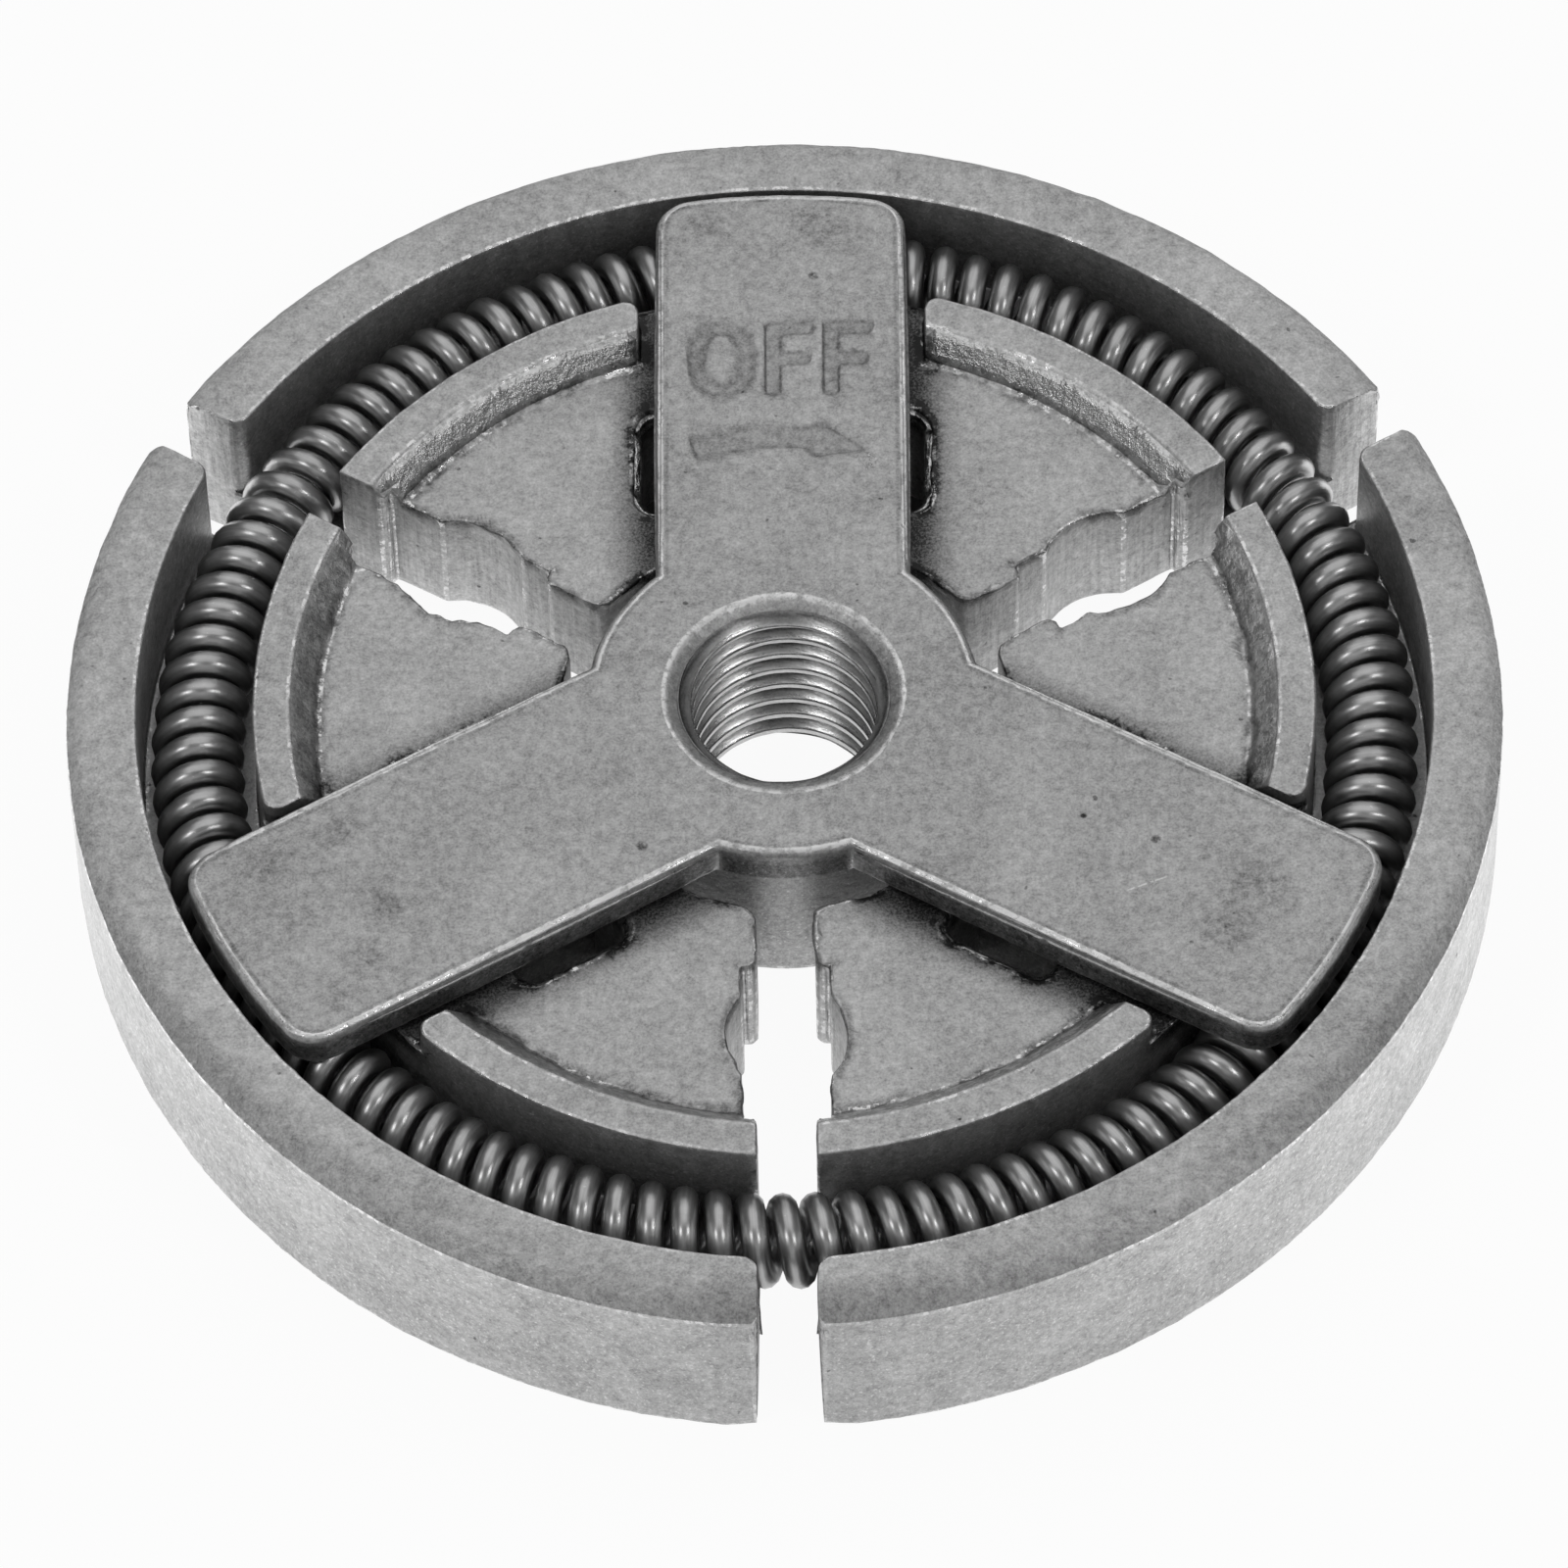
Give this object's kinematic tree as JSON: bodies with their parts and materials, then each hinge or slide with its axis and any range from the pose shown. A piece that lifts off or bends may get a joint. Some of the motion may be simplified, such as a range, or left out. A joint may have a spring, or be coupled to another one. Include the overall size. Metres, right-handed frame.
{
  "type": "chainsaw clutch",
  "caption": "Centrifugal chainsaw clutch: flat-armed spider with a threaded hub, sliding friction shoes around it, and a garter spring that pulls the shoes in.",
  "frame": {"origin": "on the bore axis, in the plane of the hub's seat, which is also the shoes' back face", "axes": "+Z along the bore axis towards the lettered face, +Y along the lettered arm"},
  "size_m": [0.0684, 0.0686, 0.0104],
  "materials": {
    "sintered_steel": "sintered, finely pitted matt grey with burnished edges",
    "spring_steel": "dark tempered wire, smooth and slightly oily"
  },
  "bodies": {
    "spider": {"spider_hub": "sintered_steel", "garter_spring": "spring_steel"},
    "back_shoe": {"shoe_back": "sintered_steel"},
    "left_shoe": {"shoe_left": "sintered_steel"},
    "right_shoe": {"shoe_right": "sintered_steel"}
  },
  "joints": [
    {"name": "back_shoe_slide", "type": "slide", "parent": "spider", "child": "back_shoe", "axis": [0, 1, 0], "range_m": [0, 0.0009], "stiffness_N_per_m": 2500, "deforming": ["garter_spring"]},
    {"name": "left_shoe_slide", "type": "slide", "parent": "spider", "child": "left_shoe", "axis": [-0.866, -0.5, 0], "range_m": [0, 0.0009], "stiffness_N_per_m": 2500, "deforming": ["garter_spring"]},
    {"name": "right_shoe_slide", "type": "slide", "parent": "spider", "child": "right_shoe", "axis": [0.866, -0.5, 0], "range_m": [0, 0.0009], "stiffness_N_per_m": 2500, "deforming": ["garter_spring"]}
  ]
}
